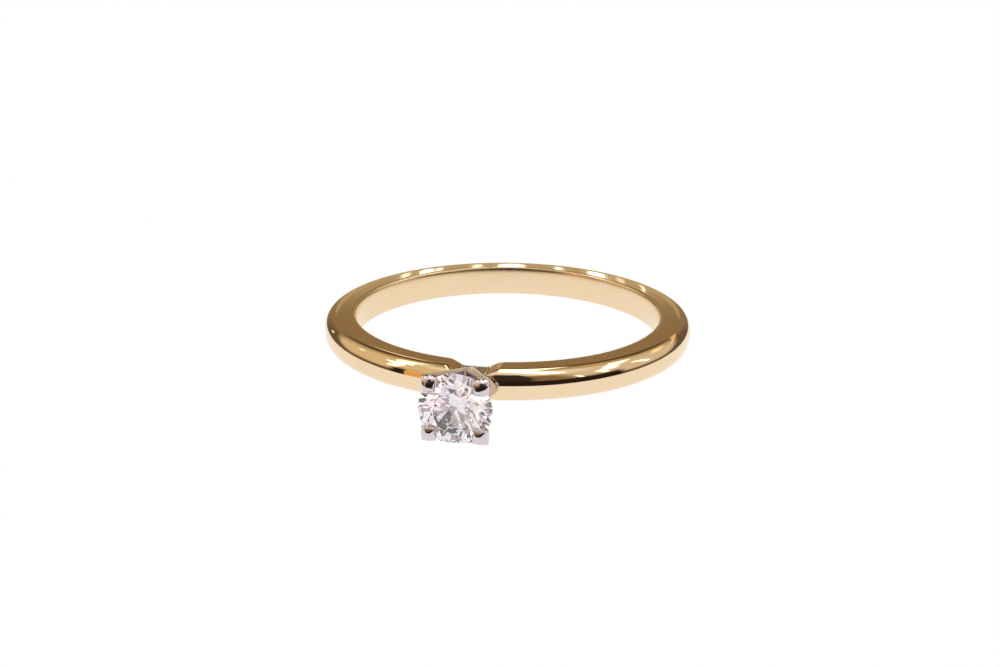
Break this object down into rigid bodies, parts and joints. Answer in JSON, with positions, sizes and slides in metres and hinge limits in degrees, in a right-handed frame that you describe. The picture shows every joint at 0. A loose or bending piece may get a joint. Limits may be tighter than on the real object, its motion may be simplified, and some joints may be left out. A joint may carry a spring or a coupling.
{
  "type": "engagement ring",
  "caption": "Solitaire engagement ring: round brilliant in a four-claw white-gold head, soldered between the bevelled ends of a plain court-section yellow-gold shank.",
  "frame": {"origin": "centre of the finger hole, at half the band's width", "axes": "+Z along the finger's axis, the stone faces -Y, +X to the right when the stone faces the viewer; the ring lies on its side"},
  "size_m": [0.02, 0.0236, 0.0036],
  "materials": {
    "yellow_gold": "polished 14k yellow gold",
    "white_gold": "polished, rhodium-plated 14k white gold",
    "gold_solder": "14k hard gold solder, polished with the ring",
    "white_gold_solder": "white gold solder, polished with the head",
    "diamond": "round brilliant diamond, polished facets"
  },
  "bodies": {
    "root": {"shank": "yellow_gold", "claw_plate_left": "white_gold", "claw_plate_right": "white_gold", "gallery_rail": "white_gold", "foot_seam": "white_gold_solder", "shank_seam_left": "gold_solder", "shank_seam_right": "gold_solder", "diamond": "diamond"}
  },
  "joints": []
}
